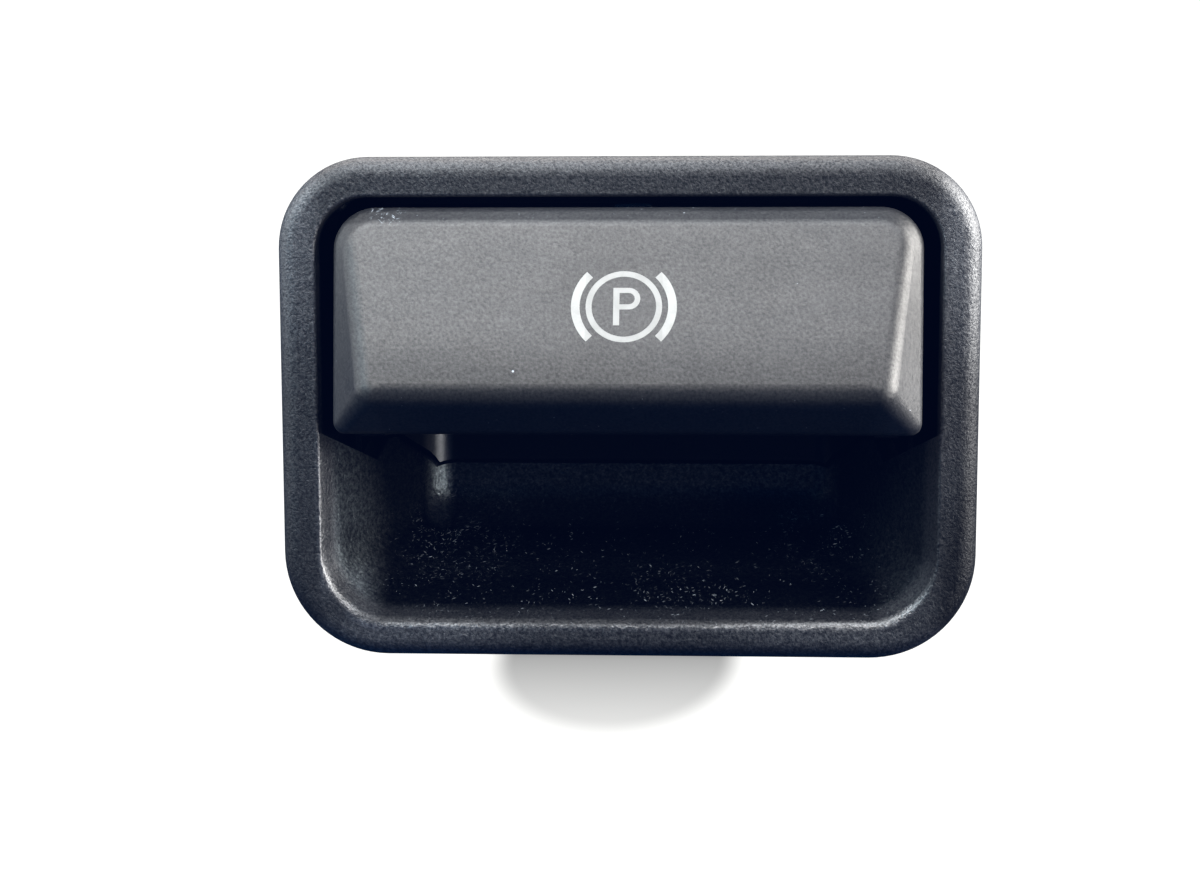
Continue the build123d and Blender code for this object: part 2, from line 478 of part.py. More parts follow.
# ================================================================ contact slider, its springs and stops
slider = block(-SLIDER_HALF_W, SLIDER_HALF_W, 21.6, 27.1, SLIDER_LOW, SLIDER_HIGH)
for s in (1, -1):
    slider = slider + block(min(s * SLIDER_HALF_W, s * 13.7), max(s * SLIDER_HALF_W, s * 13.7), 23.45, 25.55, SLIDER_LOW, SLIDER_HIGH)
    slider = slider - block(s * 8 - 2.15, s * 8 + 2.15, 21, 26.6, ARM_Z - ARM_TIP_R - 0.12, ARM_Z + ARM_TIP_R + 0.12)
slider = slider - block(-2.6, 2.6, 21, 28, 4.6, 11)
slider = slider - block(-4.6, 4.6, 21, 25.6, SLIDER_LOW - 1, 1.4)
save("contact_slider", slider)
wipers = None
for x in (-9.6, -4.6, 4.6, 9.6):
    path = Polyline((27.2, 8.6), (27.2, 6.0), (27.82, 3.2), (27.35, 1.4))
    w = extrude(Pos(x - 0.8, 0, 0) * (Plane.YZ * trace(path, 0.2)), amount=1.6, dir=(1, 0, 0))
    w = w & block(-20, 20, 27.1, 27.96, -5, 12)
    wipers = w if wipers is None else wipers + w
save("contact_springs", wipers)
SPRING_X, SPRING_Y, SPRING_R, WIRE_R = 9.0, 24.5, 1.9, 0.25


def coil(z0, z1, turns):
    path = Helix(pitch=(z1 - z0 - 2 * WIRE_R) / turns, height=z1 - z0 - 2 * WIRE_R, radius=SPRING_R)
    start = path @ 0
    section = Plane(origin=start, z_dir=path % 0) * Circle(WIRE_R)
    c = sweep(section, path=path, is_frenet=True)
    return Pos(0, 0, z0 + WIRE_R + 0.02) * c


for name, z0, z1 in (("centering_spring_upper", SLIDER_HIGH, 17.6), ("centering_spring_lower", -9.6, SLIDER_LOW)):
    c = coil(z0 + 0.02, z1 - 0.06, 5)
    pair = Pos(SPRING_X, SPRING_Y, 0) * c + Pos(-SPRING_X, SPRING_Y, 0) * c
    save(name, pair)
travel = ARM_LEN * math.radians(PUSH_DEG)
stops = None
for x in (-4.9, 4.9):
    for z0, z1 in ((SLIDER_HIGH + travel + 0.06, 17.6), (-9.6, SLIDER_LOW - travel - 0.06)):
        st = rod_z(x, 24.5, 1.0, z0, z1)
        stops = st if stops is None else stops + st
save("stop_buffers", stops)
print("lip travel", round(math.hypot(LIP_BOTTOM[0] - HINGE_Y, LIP_BOTTOM[1] - HINGE_Z) * math.radians(PUSH_DEG), 2), "mm, slider travel", round(travel, 3))
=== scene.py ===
import json
import math

import bpy
from mathutils import Euler, Matrix, Vector

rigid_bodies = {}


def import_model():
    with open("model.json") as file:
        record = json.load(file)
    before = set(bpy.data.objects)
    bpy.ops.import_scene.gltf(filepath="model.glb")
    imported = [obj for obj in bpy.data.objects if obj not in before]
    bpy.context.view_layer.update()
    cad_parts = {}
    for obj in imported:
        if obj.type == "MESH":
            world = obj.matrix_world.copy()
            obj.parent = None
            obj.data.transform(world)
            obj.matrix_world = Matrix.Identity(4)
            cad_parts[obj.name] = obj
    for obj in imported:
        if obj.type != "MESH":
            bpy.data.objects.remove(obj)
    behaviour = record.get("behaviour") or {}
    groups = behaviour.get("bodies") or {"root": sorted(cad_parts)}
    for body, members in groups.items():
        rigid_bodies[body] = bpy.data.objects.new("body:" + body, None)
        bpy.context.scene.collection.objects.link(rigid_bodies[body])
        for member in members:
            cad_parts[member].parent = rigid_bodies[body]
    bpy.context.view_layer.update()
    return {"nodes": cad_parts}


for o in list(bpy.data.objects):
    bpy.data.objects.remove(o)

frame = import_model()
nodes = frame["nodes"]
MM = 0.001


# ------------------------------------------------------------------ node helpers
class Tree:
    """Short calls for building a material's nodes."""

    def __init__(self, name):
        self.mat = bpy.data.materials.new(name)
        self.mat.use_nodes = True
        self.nt = self.mat.node_tree
        self.nt.nodes.clear()
        self.out = self.nt.nodes.new("ShaderNodeOutputMaterial")
        self.bsdf = self.nt.nodes.new("ShaderNodeBsdfPrincipled")
        self.nt.links.new(self.bsdf.outputs[0], self.out.inputs["Surface"])
        self.coord = self.nt.nodes.new("ShaderNodeTexCoord").outputs["Object"]

    def link(self, a, b):
        self.nt.links.new(a, b)

    def put(self, socket, value):
        if hasattr(value, "is_output"):
            self.link(value, socket)
        else:
            socket.default_value = value

    def mapping(self, scale=(1, 1, 1), rot=(0, 0, 0), loc=(0, 0, 0), src=None):
        n = self.nt.nodes.new("ShaderNodeMapping")
        self.link(src or self.coord, n.inputs["Vector"])
        n.inputs["Scale"].default_value = scale
        n.inputs["Rotation"].default_value = rot
        n.inputs["Location"].default_value = loc
        return n.outputs[0]

    def noise(self, scale, detail=2.0, rough=0.5, src=None, distortion=0.0):
        n = self.nt.nodes.new("ShaderNodeTexNoise")
        self.link(src or self.coord, n.inputs["Vector"])
        n.inputs["Scale"].default_value = scale
        n.inputs["Detail"].default_value = detail
        n.inputs["Roughness"].default_value = rough
        n.inputs["Distortion"].default_value = distortion
        return n.outputs["Fac"]

    def voronoi(self, scale, src=None, feature="F1", out="Distance", randomness=1.0):
        n = self.nt.nodes.new("ShaderNodeTexVoronoi")
        n.feature = feature
        self.link(src or self.coord, n.inputs["Vector"])
        n.inputs["Scale"].default_value = scale
        n.inputs["Randomness"].default_value = randomness
        return n.outputs[out]

    def math(self, op, a, b=0.0, c=None, clamp=False):
        n = self.nt.nodes.new("ShaderNodeMath")
        n.operation = op
        n.use_clamp = clamp
        self.put(n.inputs[0], a)
        self.put(n.inputs[1], b)
        if c is not None:
            self.put(n.inputs[2], c)
        return n.outputs[0]

    def ramp(self, fac, lo, hi, out_lo=0.0, out_hi=1.0, smooth=True):
        n = self.nt.nodes.new("ShaderNodeMapRange")
        n.interpolation_type = "SMOOTHSTEP" if smooth else "LINEAR"
        self.put(n.inputs["Value"], fac)
        self.put(n.inputs["From Min"], lo)
        self.put(n.inputs["From Max"], hi)
        self.put(n.inputs["To Min"], out_lo)
        self.put(n.inputs["To Max"], out_hi)
        return n.outputs["Result"]

    def mix(self, fac, a, b, blend="MIX"):
        n = self.nt.nodes.new("ShaderNodeMix")
        n.data_type = "RGBA"
        n.blend_type = blend
        self.put(n.inputs["Factor"], fac)
        self.put(n.inputs[6], a)
        self.put(n.inputs[7], b)
        return n.outputs[2]

    def split(self, src=None):
        n = self.nt.nodes.new("ShaderNodeSeparateXYZ")
        self.link(src or self.coord, n.inputs[0])
        return n.outputs

    def bump(self, height, distance, strength=1.0, normal=None):
        n = self.nt.nodes.new("ShaderNodeBump")
        self.put(n.inputs["Height"], height)
        n.inputs["Distance"].default_value = distance
        n.inputs["Strength"].default_value = strength
        if normal is not None:
            self.link(normal, n.inputs["Normal"])
        return n.outputs[0]

    def set(self, **kw):
        for k, v in kw.items():
            self.put(self.bsdf.inputs[k.replace("_", " ")], v)


def rgb(r, g, b):
    return (r, g, b, 1.0)


def box_mask(t, x0, x1, z0, z1, soft):
    """1 inside a rectangle of x and z (metres), fading over soft."""
    s = t.split()
    a = t.ramp(s[0], x0 - soft, x0 + soft)
    b = t.ramp(s[0], x1 - soft, x1 + soft, 1.0, 0.0)
    c = t.ramp(s[2], z0 - soft, z0 + soft)
    d = t.ramp(s[2], z1 - soft, z1 + soft, 1.0, 0.0)
    return t.math("MULTIPLY", t.math("MULTIPLY", a, b), t.math("MULTIPLY", c, d))


def specks(t, scale, size, keep, seed, stretch=(1, 1, 1), turn=None):
    """Small isolated specks: a few cells of a Voronoi texture, each with a dot in it."""
    base = t.mapping(rot=(0, turn, 0)) if turn is not None else None
    src = t.mapping(scale=stretch, loc=(seed, seed * 0.37, -seed), src=base)
    dist = t.voronoi(scale, src)
    cell = t.nt.nodes.new("ShaderNodeTexVoronoi")
    cell.feature = "F1"
    t.link(src, cell.inputs["Vector"])
    cell.inputs["Scale"].default_value = scale
    col = t.nt.nodes.new("ShaderNodeSeparateColor")
    t.link(cell.outputs["Color"], col.inputs[0])
    chosen = t.math("LESS_THAN", col.outputs[0], keep)
    radius = t.math("MULTIPLY_ADD", col.outputs[1], size * 0.9, size * 0.4)
    dot = t.ramp(t.math("DIVIDE", dist, radius), 0.45, 1.0, 1.0, 0.0)
    dot = t.math("MULTIPLY", dot, t.math("MULTIPLY_ADD", t.math("POWER", col.outputs[2], 2.0), 0.85, 0.15))
    return t.math("MULTIPLY", chosen, dot)


# ------------------------------------------------------------------ materials
def band(t, value, lo, hi, soft):
    return t.math("MULTIPLY", t.ramp(value, lo - soft, lo + soft), t.ramp(value, hi - soft, hi + soft, 1.0, 0.0))


def times(t, *values):
    out = values[0]
    for v in values[1:]:
        out = t.math("MULTIPLY", out, v)
    return out


def bezel_painted_sheen(t):
    """Painted highlights and shade, as a factor on how strongly the frame shines: the bowl is painted bright near its
    left rim and at its left back corner and dark in the middle and to the right, the hinge gap is shaded dark, and the
    flat front is painted brighter towards the top."""
    s = t.split()
    ax = t.math("ABSOLUTE", s[0])
    inside = t.ramp(s[1], -0.0018, -0.0004)
    # painted highlights: bright near the left rim and in the lower left corner, a little to the right, and on the
    # rounded left back corner
    lean = t.math("MULTIPLY_ADD", t.math("ADD", s[2], 0.0185), 0.10, s[0])
    side = t.math("ADD", t.ramp(lean, -0.0285, -0.0266, 5.0, 0.0), t.ramp(lean, -0.0262, -0.0228, 1.05, 0.12))
    side = t.math("MULTIPLY", side, t.ramp(t.math("ABSOLUTE", t.math("ADD", s[2], 0.0137)), 0.0006, 0.0026, 0.60, 1.0))
    low = t.math("MULTIPLY", t.ramp(s[2], -0.0172, -0.0150, 0.9, 0.0), t.ramp(s[0], -0.0262, -0.0247, 1.0, 0.0))
    right = t.ramp(s[0], 0.0215, 0.0275, 0.0, 0.30)
    wide = t.math("MULTIPLY_ADD", band(t, ax, 0.0188, 0.0207, 0.0005), t.ramp(s[0], -0.001, 0.0, 1.35, 0.0), 0.60)
    deep = times(t, t.ramp(s[1], 0.0095, 0.0125, 0.0, 1.10), wide, t.ramp(ax, 0.0206, 0.0216, 1.0, 0.0))
    f = t.math("MAXIMUM", t.math("ADD", t.math("ADD", side, low), right), deep)
    # painted shade: dark above the bowl in the hinge gap and in the side gaps around the paddle
    f = t.math("MULTIPLY", f, t.ramp(s[2], -0.0030, -0.0012, 1.0, 0.03))
    behind = t.math("MULTIPLY_ADD", t.math("ADD", s[1], 0.003), 0.547, t.math("SUBTRACT", ax, 0.0292))
    f = t.math("MULTIPLY", f, t.ramp(behind, 0.00008, 0.00030, 1.0, 0.06))
    # the outside of the collar gets none of the painted highlight or shade
    az = t.math("ABSOLUTE", s[2])
    outer = t.math("MAXIMUM", t.ramp(ax, 0.0297, 0.0301), t.ramp(az, 0.0208, 0.0211))
    outer = t.math("MAXIMUM", outer, t.ramp(t.math("ADD", ax, az), 0.0478, 0.0485))
    within = t.math("SUBTRACT", 1.0, t.math("MULTIPLY", outer, t.ramp(s[1], -0.0009, -0.0003)))
    within = t.math("MULTIPLY", within, inside)
    bowl = t.math("ADD", t.math("MULTIPLY", t.math("SUBTRACT", f, 1.0), within), 1.0)
    # painted sheen on the flat front of the frame: brighter towards the top, darker lower down and at the right edge,
    # lighter at the lower corners and the top outer edge
    col = t.ramp(ax, 0.0280, 0.0305)
    up = t.math("MULTIPLY", t.ramp(s[2], 0.0010, 0.0150, 0.0, 0.80), t.ramp(s[0], -0.02, 0.02, 1.12, 1.30))
    down = t.math("MULTIPLY", t.ramp(s[2], -0.0160, -0.0040, 1.0, 0.0), t.ramp(s[0], -0.01, 0.01, -0.20, -0.62))
    foot = times(t, t.ramp(s[2], -0.0215, -0.0195, 1.0, 0.0), t.ramp(ax, 0.0070, 0.0180, -0.05, 0.55), t.ramp(s[0], -0.012, 0.012, 1.55, 0.60))
    head = t.math("MULTIPLY", t.ramp(s[2], 0.0185, 0.0205), t.ramp(s[0], -0.020, 0.024, -0.06, -0.28, False))
    edge = t.math("MULTIPLY", t.ramp(s[0], 0.0303, 0.0322, 0.0, -0.45), t.ramp(s[2], -0.0020, 0.0120, 1.0, 0.0))
    head = t.math("ADD", head, t.ramp(s[2], 0.0222, 0.0232, 0.0, 0.22))
    front = t.math("ADD", t.math("MULTIPLY", col, t.math("ADD", up, down)), t.math("ADD", t.math("ADD", foot, edge), head))
    front = t.math("MULTIPLY", t.math("MAXIMUM", front, -0.60), t.math("SUBTRACT", 1.0, inside))
    # painted shade: the lower sill is darkened up to the crown of its rounded edge
    crown_z = t.math("SUBTRACT", s[2], t.ramp(s[0], 0.004, 0.023, 0.0, 0.00042, False))
    sill = times(t, t.ramp(s[2], -0.0175, -0.0160, 1.0, 0.0), t.ramp(crown_z, -0.02060, -0.02025), t.ramp(ax, 0.0230, 0.0252, 1.0, 0.0))
    # painted highlight on the slope just behind the left rim
    slope = times(t, t.ramp(s[0], -0.0288, -0.0275, 1.0, 0.0), t.ramp(s[0], -0.02945, -0.02915), t.ramp(s[2], -0.0050, -0.0030, 1.0, 0.0),
                  t.ramp(s[2], -0.0190, -0.0160))
    return times(t, bowl, t.math("ADD", front, 1.0), t.math("MULTIPLY_ADD", sill, -0.55, 1.0), t.math("MULTIPLY_ADD", slope, 0.80, 1.0))


def rim_line(t):
    """1 along the rounded front edge of the opening, strongest at the left, where it places a painted highlight."""
    s = t.split()
    mm = 1000.0
    x = t.math("MULTIPLY", t.math("ABSOLUTE", s[0]), mm)
    z = t.math("MULTIPLY", t.math("ABSOLUTE", t.math("ADD", s[2], 0.000125)), mm)
    r = t.math("MULTIPLY_ADD", t.math("LESS_THAN", s[2], 0.0), 2.0, 4.8)
    qx = t.math("SUBTRACT", x, t.math("SUBTRACT", 29.2, r))
    qz = t.math("SUBTRACT", z, t.math("SUBTRACT", 20.075, r))
    px, pz = t.math("MAXIMUM", qx, 0.0), t.math("MAXIMUM", qz, 0.0)
    out = t.math("SQRT", t.math("ADD", t.math("MULTIPLY", px, px), t.math("MULTIPLY", pz, pz)))
    inn = t.math("MINIMUM", t.math("MAXIMUM", qx, qz), 0.0)
    d = t.math("SUBTRACT", t.math("ADD", out, inn), r)
    ax = t.math("ABSOLUTE", s[0])
    crown = t.ramp(s[2], -0.0203, -0.0186, t.ramp(ax, 0.0225, 0.0250, 0.52, 0.78), 0.05)
    crown = t.math("SUBTRACT", crown, t.math("MULTIPLY", t.ramp(s[0], 0.004, 0.023, 0.0, 0.40, False), t.ramp(s[2], -0.0200, -0.0190, 1.0, 0.0)))
    near = t.ramp(t.math("ABSOLUTE", t.math("SUBTRACT", d, crown)), 0.05, 0.52, 1.0, 0.0)
    left = t.math("MULTIPLY", t.ramp(s[0], -0.020, 0.015, 1.0, 0.25), t.ramp(s[2], -0.0196, -0.0182, 0.0, 1.0))
    left = t.math("ADD", left, t.math("MULTIPLY", t.ramp(s[2], -0.0200, -0.0160, 1.55, 0.0), t.ramp(ax, 0.0225, 0.0250, 0.68, 1.0)))
    return times(t, near, left, t.ramp(s[1], -0.0022, -0.0012, 1.0, 0.0))


def paddle_painted_sheen(t):
    """Painted sheen on the face: darker low down and brighter higher up, darker along the top bevel, a painted
    highlight low on the right side, a little brighter to the left.
    """
    s = t.split()
    ax = t.math("ABSOLUTE", s[0])
    f = t.math("ADD", t.ramp(s[2], 0.0026, 0.0088, -0.20, 0.17), t.ramp(s[2], 0.0090, 0.0150, 0.0, -0.06))
    line = t.math("MULTIPLY_ADD", s[2], -0.153, ax)
    f = t.math("MULTIPLY", f, t.ramp(line, 0.0218, 0.0230, 1.0, 0.0))
    f = t.math("SUBTRACT", f, t.math("MULTIPLY", t.ramp(s[2], 0.0172, 0.0180), t.ramp(s[0], -0.025, -0.010, 0.42, 0.18)))
    cheek = times(t, t.ramp(s[0], 0.0232, 0.0242), t.ramp(s[2], 0.0020, 0.0085, 0.34, 0.0))
    f = t.math("ADD", f, cheek)
    return t.math("MULTIPLY", t.math("ADD", f, 1.0), t.ramp(s[0], -0.026, 0.024, 1.05, 0.97, False))


def frame_painted_sheen(t):
    """Painted shade and highlights: dark overall, with painted highlights on the left rounded corner of the rear wall
    and on the front edges of the side webs.
    """
    s = t.split()
    ax = t.math("ABSOLUTE", s[0])
    corner = times(t, band(t, ax, 0.0189, 0.0210, 0.0005), t.ramp(s[1], 0.007, 0.010), t.ramp(s[0], -0.002, 0.002, 1.0, 0.0))
    edge = t.math("MULTIPLY", band(t, ax, 0.02325, 0.02350, 0.00012), t.ramp(s[1], -0.0058, -0.0050, 1.0, 0.0))
    return t.math("ADD", 0.22, t.math("MULTIPLY", t.math("MAXIMUM", corner, edge), 1.7))


def grained_black(name, base=(0.0072, 0.0082, 0.0105), rough=0.52, grain=14.0e-6, spec=0.5, dust=(), fine=4200.0, coarse=1900.0,
                  specks_all=0.004, spec_var=0.22, painted_sheen_map=None, deep_rough=None, rim=False, dust_mix=0.92):
    """Black moulded plastic with a spark-eroded grain, faint smudges and specks of dust, and, where a sheen map is
    given, painted highlights and shade.
    """
    t = Tree(name)
    fine_n = t.noise(fine, 3.0, 0.62)
    coarse_n = t.noise(coarse, 2.0, 0.5)
    cloud = t.noise(95.0, 3.0, 0.55)
    smear = t.noise(160.0, 4.0, 0.6, src=t.mapping(scale=(1.0, 1.0, 3.2), rot=(0, 0.35, 0)))
    height = t.math("ADD", t.math("MULTIPLY", fine_n, 0.72), t.math("MULTIPLY", coarse_n, 0.5))
    nrm = t.bump(height, grain, 1.0)
    shine = t.ramp(fine_n, 0.3, 0.7, spec * (1.0 - spec_var), spec * (1.0 + spec_var), False)
    shine = t.math("MULTIPLY", shine, t.ramp(cloud, 0.3, 0.7, 0.96, 1.04, False))
    painted_light_f = painted_sheen_map(t) if painted_sheen_map else None
    rim_f = rim_line(t) if rim else None
    # painted highlights and shade: the sheen map scales the specular level
    if painted_sheen_map:
        shine = t.math("MULTIPLY", shine, painted_light_f)
    # painted highlight along the rounded front edge of the opening, strongest at the left; the rim is also made a
    # little smoother below
    if rim:
        shine = t.math("MULTIPLY", shine, t.math("MULTIPLY_ADD", rim_f, 1.5, 1.0))
        q = t.split()
        where = t.math("MAXIMUM", t.ramp(q[1], -0.0018, -0.0004), t.ramp(q[2], -0.0215, -0.0195, 1.0, 0.0))
        shine = t.math("MULTIPLY", shine, t.math("MULTIPLY_ADD", t.ramp(t.noise(2300.0, 2.0, 0.55), 0.34, 0.66, -0.60, 0.60, False), where, 1.0))
        t.set(Specular_Tint=t.mix(t.ramp(q[1], -0.0018, -0.0004), rgb(1.0, 1.0, 1.0), rgb(0.88, 1.0, 1.02)))
    tone = t.math("ADD", t.ramp(cloud, 0.3, 0.7, 0.86, 1.16, False), t.ramp(fine_n, 0.35, 0.65, -0.14, 0.14, False))
    # the same painted highlight and shade map lightens and darkens the base colour
    if painted_sheen_map:
        tone = t.math("MULTIPLY", tone, painted_light_f)
    col = t.mix(1.0, rgb(*base), tone, "MULTIPLY")
    r = t.math("ADD", t.ramp(smear, 0.3, 0.72, rough - 0.035, rough + 0.04, False), t.ramp(fine_n, 0.3, 0.7, -0.035, 0.035, False))
    if deep_rough is not None:
        deep = t.ramp(t.split()[1], 0.0085, 0.0120)
        r = t.math("ADD", r, t.math("MULTIPLY", deep, deep_rough - rough))
    if rim:
        r = t.math("SUBTRACT", r, t.math("MULTIPLY", t.math("MINIMUM", rim_f, 1.0), 0.14))
    total = specks(t, 900.0, 0.10, specks_all, 3.1)
    for (x0, x1, z0, z1, soft, keep, scale, seed, streaks) in dust:
        m = box_mask(t, x0, x1, z0, z1, soft)
        k = t.math("MULTIPLY", m, t.ramp(t.noise(360.0, 3.0, 0.6), 0.38, 0.58)) if keep < 0.6 else m
        s = specks(t, scale, 0.19, keep, seed)
        if streaks:
            s2 = specks(t, scale * 0.52, 0.34, keep * 0.75, seed + 1.7, (1.0, 1.0, 7.0), 0.22)
            s3 = specks(t, scale * 0.52, 0.34, keep * 0.55, seed + 4.1, (1.0, 1.0, 7.0), -0.55)
            s4 = specks(t, scale * 0.52, 0.34, keep * 0.40, seed + 6.3, (1.0, 1.0, 7.0), 1.25)
            s = t.math("MAXIMUM", t.math("MAXIMUM", s, s4), t.math("MAXIMUM", s2, s3))
        total = t.math("MAXIMUM", total, t.math("MULTIPLY", s, k))
    col = t.mix(t.math("MULTIPLY", total, dust_mix), col, rgb(0.66, 0.72, 0.80))
    t.set(Base_Color=col, Roughness=t.math("ADD", r, t.math("MULTIPLY", total, 0.2)), Normal=nrm)
    t.set(IOR=1.5, Specular_IOR_Level=shine)
    return t


def metal(name, base, rough, var=0.06, scale=900.0, stretch=(1, 1, 1), bump=1.5e-6):
    t = Tree(name)
    n1 = t.noise(scale, 4.0, 0.6, src=t.mapping(scale=stretch))
    n2 = t.noise(140.0, 3.0, 0.5)
    col = t.mix(t.ramp(n2, 0.3, 0.7, 0.0, 1.0, False), rgb(*base), rgb(*[c * 0.72 for c in base]))
    t.set(Base_Color=col, Roughness=t.ramp(n1, 0.3, 0.7, rough - var, rough + var, False), Normal=t.bump(n1, bump, 1.0))
    t.set(Metallic=1.0)
    return t


def plain_plastic(name, base, rough=0.5, grain=2.0e-6, scale=5000.0, sss=0.0, trans=0.0):
    t = Tree(name)
    n1 = t.noise(scale, 3.0, 0.6)
    n2 = t.noise(130.0, 3.0, 0.5)
    col = t.mix(t.ramp(n2, 0.3, 0.7, 0.0, 1.0, False), rgb(*base), rgb(*[c * 0.85 for c in base]))
    t.set(Base_Color=col, Roughness=t.ramp(n2, 0.3, 0.7, rough - 0.05, rough + 0.06, False), Normal=t.bump(n1, grain, 1.0))
    if trans:
        t.set(Transmission_Weight=trans)
    return t


BOWL_DUST = (
    # x0, x1, z0, z1, soft edge, share of cells, cells per metre, seed, with streaks
    (-0.0215, -0.0125, -0.0160, -0.0100, 0.0022, 0.50, 3000.0, 7.0, True),
    (0.0150, 0.0220, -0.0160, -0.0108, 0.0015, 0.55, 2900.0, 11.0, True),
    (-0.0265, -0.0150, -0.0205, -0.0120, 0.0030, 0.24, 3100.0, 17.0, False),
    (-0.0230, 0.0250, -0.0195, -0.0110, 0.0030, 0.12, 3300.0, 19.0, True),
    (0.0010, 0.0110, -0.0195, -0.0165, 0.0014, 0.20, 3100.0, 31.0, True),
)
CROWN_DUST = (
    (-0.0270, 0.0270, 0.0180, 0.0200, 0.0004, 0.30, 2300.0, 23.0, False),
    (-0.0238, -0.0208, 0.0176, 0.0195, 0.0004, 0.75, 2300.0, 25.0, True),
    (-0.0260, 0.0260, -0.0015, 0.0020, 0.0006, 0.10, 2500.0, 29.0, False),
)

mats = {}
mats["black_grained_plastic"] = grained_black("black_grained_plastic", rough=0.50, grain=105.0e-6, spec_var=0.70, dust=BOWL_DUST,
                                              painted_sheen_map=bezel_painted_sheen, deep_rough=0.33, rim=True, dust_mix=0.62)
mats["black_soft_paint"] = grained_black("black_soft_paint", base=(0.0085, 0.0092, 0.0110), rough=0.46, grain=26.0e-6, dust=CROWN_DUST,
                                         fine=3600.0, coarse=1500.0, specks_all=0.014, spec_var=0.34, painted_sheen_map=paddle_painted_sheen, dust_mix=0.62)
mats["black_soft_paint"].bsdf.inputs["Specular Tint"].default_value = (1.0, 0.975, 0.935, 1.0)
mats["black_inner_plastic"] = grained_black("black_inner_plastic", base=(0.0040, 0.0050, 0.0075), rough=0.50, grain=12.0e-6, spec=0.5, deep_rough=0.42,
                                            painted_sheen_map=frame_painted_sheen)
mats["black_box_plastic"] = grained_black("black_box_plastic", base=(0.010, 0.0105, 0.0115), rough=0.42, grain=8.0e-6, coarse=1500.0)
sym = plain_plastic("white_symbol", (0.253, 0.251, 0.238), 0.55, 8.0e-6, 3200.0)
q = sym.split()
away = sym.math("ABSOLUTE", sym.math("ADD", q[0], 0.00012))
worn = sym.ramp(sym.noise(900.0, 3.0, 0.6), 0.35, 0.70, 1.0, 0.86)
lit = sym.math("MULTIPLY", sym.ramp(away, 0.00345, 0.00355, 1.0, 1.16), worn)
sym.set(Base_Color=sym.mix(1.0, rgb(0.253, 0.251, 0.238), lit, "MULTIPLY"))
mats["white_symbol"] = sym
mats["white_diffuser"] = plain_plastic("white_diffuser", (0.78, 0.79, 0.78), 0.5)
mats["steel_pin"] = metal("steel_pin", (0.16, 0.16, 0.17), 0.38, stretch=(0.2, 3, 3))
mats["bush_plastic"] = plain_plastic("bush_plastic", (0.010, 0.010, 0.011), 0.50)
mats["spring_steel"] = metal("spring_steel", (0.27, 0.265, 0.26), 0.42, stretch=(0.3, 2, 2))
mats["board_green"] = plain_plastic("board_green", (0.012, 0.095, 0.035), 0.35)
mats["chip_black"] = plain_plastic("chip_black", (0.018, 0.018, 0.019), 0.55)
mats["screw_zinc"] = metal("screw_zinc", (0.50, 0.46, 0.40), 0.40, scale=1400.0)
mats["led_white"] = plain_plastic("led_white", (0.80, 0.80, 0.70), 0.3)
mats["clear_guide"] = plain_plastic("clear_guide", (0.93, 0.95, 0.96), 0.12, 0.6e-6, trans=0.9)
mats["tinned_brass"] = metal("tinned_brass", (0.66, 0.63, 0.55), 0.27, stretch=(3, 0.3, 3))
mats["slider_plastic"] = plain_plastic("slider_plastic", (0.55, 0.54, 0.50), 0.45)
mats["contact_brass"] = metal("contact_brass", (0.72, 0.52, 0.26), 0.25)
mats["buffer_rubber"] = plain_plastic("buffer_rubber", (0.015, 0.015, 0.016), 0.8, 4.0e-6, 3000.0)

for name, o in nodes.items():
    for i, s in enumerate(o.material_slots):
        key = s.material.name.split(".")[0] if s.material else ""
        if key in mats:
            s.material = mats[key].mat

# ------------------------------------------------------------------ stage
FLOOR_Z = -0.02380


def stage_material(name, colour, glow, painted_shadow=False):
    t = Tree(name)
    n = t.noise(18.0, 3.0, 0.5)
    t.set(Base_Color=t.mix(n, rgb(*colour), rgb(*[c * 0.985 for c in colour])), Roughness=0.8)
    t.bsdf.inputs["Specular IOR Level"].default_value = 0.0
    t.bsdf.inputs["Emission Color"].default_value = (1, 1, 0.985, 1)
    t.bsdf.inputs["Emission Strength"].default_value = glow
    if painted_shadow:
        # painted shadow: the floor's glow drops under the switch and out to a short way in front of it
        s = t.split()
        u = t.math("MULTIPLY", t.math("ADD", s[0], 0.0010), 1.0 / 0.0118)
        v = t.math("MAXIMUM", t.math("MULTIPLY", s[1], -1.0 / 0.0298), t.math("MULTIPLY", t.math("SUBTRACT", s[1], 0.036), 1.0 / 0.012))
        v = t.math("MAXIMUM", v, 0.0)
        d = t.math("SQRT", t.math("ADD", t.math("MULTIPLY", u, u), t.math("MULTIPLY", v, v)))
        shade = t.ramp(v, 0.0, 1.0, 0.37, 0.80, False)
        t.set(Emission_Strength=t.ramp(d, 0.82, 1.10, shade, glow))
    return t.mat


def disc(name, radius, z, rings=24, seg=96):
    me = bpy.data.meshes.new(name)
    verts, faces = [(0, 0, z)], []
    for i in range(1, rings + 1):
        r = radius * (i / rings) ** 1.5
        for k in range(seg):
            a = 2 * math.pi * k / seg
            verts.append((r * math.cos(a), r * math.sin(a), z))
    for k in range(seg):
        faces.append((0, 1 + k, 1 + (k + 1) % seg))
    for i in range(1, rings):
        for k in range(seg):
            a, b = 1 + (i - 1) * seg, 1 + i * seg
            faces.append((a + k, b + k, b + (k + 1) % seg, a + (k + 1) % seg))
    me.from_pydata(verts, [], faces)
    o = bpy.data.objects.new(name, me)
    bpy.context.scene.collection.objects.link(o)
    return o


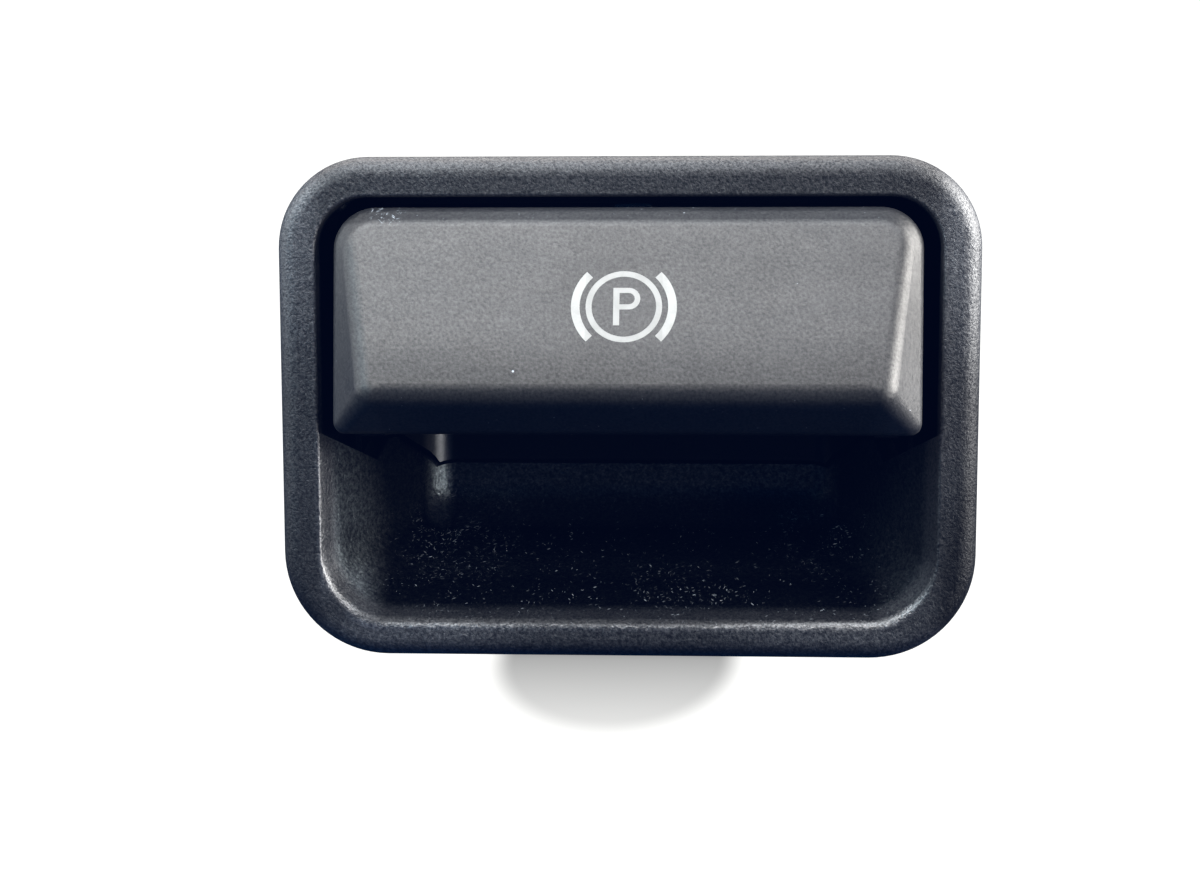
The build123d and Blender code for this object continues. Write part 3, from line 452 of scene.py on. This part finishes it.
floor = disc("pale_floor", 2.4, FLOOR_Z)
floor.data.materials.append(stage_material("pale_floor", (0.010, 0.010, 0.010), 1.15, painted_shadow=True))
bpy.ops.mesh.primitive_uv_sphere_add(segments=96, ring_count=48, radius=2.5, location=(0, 0, 0))
dome = bpy.context.object
dome.name = "pale_backdrop"
dome.data.materials.append(stage_material("pale_backdrop", (0.010, 0.010, 0.010), 1.15))
for s in (floor, dome):
    s.visible_diffuse = False
    s.visible_glossy = False
    s.visible_transmission = False
dome.visible_shadow = False

# ------------------------------------------------------------------ light
world = bpy.data.worlds.new("studio")
world.use_nodes = True
bg = world.node_tree.nodes["Background"]
bg.inputs["Color"].default_value = (0.0, 0.026, 0.10, 1)
bg.inputs["Strength"].default_value = 1.0
bpy.context.scene.world = world

# name: direction from the object (azimuth from the front towards +X, elevation), distance, width, height, radiance, colour
LIGHTS = {
    "key_front_top": (-10, 48, 0.42, 0.40, 0.24, 4.0, (1.0, 0.92, 0.86)),
    "near_top": (-8, 64, 0.24, 0.22, 0.10, 12.4, (0.86, 0.93, 1.0)),
    "back_top": (0, 116, 0.45, 0.60, 0.20, 9.2, (1.0, 0.95, 0.90)),
    "right_side": (86, 24, 0.40, 0.26, 0.34, 22.4, (1.0, 0.99, 0.97)),
    "right_low": (60, 0, 0.40, 0.16, 0.26, 8.0, (0.97, 0.98, 1.0)),
    "left_side": (-84, 20, 0.40, 0.26, 0.34, 3.7, (0.90, 0.96, 1.0)),
    "left_top": (-62, 48, 0.40, 0.20, 0.20, 4.6, (1.0, 0.95, 0.92)),
    "left_front": (-48, 30, 0.50, 0.22, 0.30, 6.0, (0.60, 0.85, 1.0)),
    "front_low": (0, -28, 0.60, 0.50, 0.20, 0.62, (0.96, 0.96, 0.96)),
}


def add_light(name, az, el, dist, w, h, radiance, colour):
    a, e = math.radians(az), math.radians(el)
    d = Vector((math.sin(a) * math.cos(e), -math.cos(a) * math.cos(e), math.sin(e)))
    data = bpy.data.lights.new(name, "AREA")
    data.shape = "RECTANGLE"
    data.size, data.size_y = w, h
    data.energy = radiance * math.pi * w * h
    data.color = colour
    o = bpy.data.objects.new(name, data)
    bpy.context.scene.collection.objects.link(o)
    o.location = d * dist
    o.rotation_euler = d.to_track_quat("Z", "Y").to_euler()
    o.visible_camera = False
    return o


for name, v in LIGHTS.items():
    add_light(name, *v)

# ------------------------------------------------------------------ camera
FOCAL_PX = 1845.0
CAM_EL, CAM_AZ, CAM_DIST = 5.5, 1.8, 0.175
TARGET = Vector((0.0, -0.001, 0.0))
e, a = math.radians(CAM_EL), math.radians(CAM_AZ)
cam_dir = Vector((math.sin(a) * math.cos(e), -math.cos(a) * math.cos(e), math.sin(e)))
cam_data = bpy.data.cameras.new("camera")
cam_data.sensor_width = 36.0
cam_data.lens = FOCAL_PX / 1200.0 * 36.0
cam_data.clip_start, cam_data.clip_end = 0.01, 10.0
cam = bpy.data.objects.new("camera", cam_data)
bpy.context.scene.collection.objects.link(cam)
cam.location = TARGET + cam_dir * CAM_DIST
look = cam_dir.to_track_quat("Z", "Y").to_matrix().to_4x4()
yaw = math.atan((627.5 - 600.0) / FOCAL_PX)
pitch = math.atan((438.5 - 409.2) / FOCAL_PX)
look = look @ Matrix.Rotation(yaw, 4, "Y") @ Matrix.Rotation(-pitch, 4, "X")
cam.rotation_euler = look.to_euler()
bpy.context.scene.camera = cam

vs = bpy.context.scene.view_settings
vs.view_transform = "Standard"
vs.look = "None"
vs.exposure = 0.0
vs.gamma = 1.0
vs.use_curve_mapping = True
vs.curve_mapping.black_level = (-0.0004, -0.0018, -0.0090)
vs.curve_mapping.update()

bpy.context.view_layer.update()
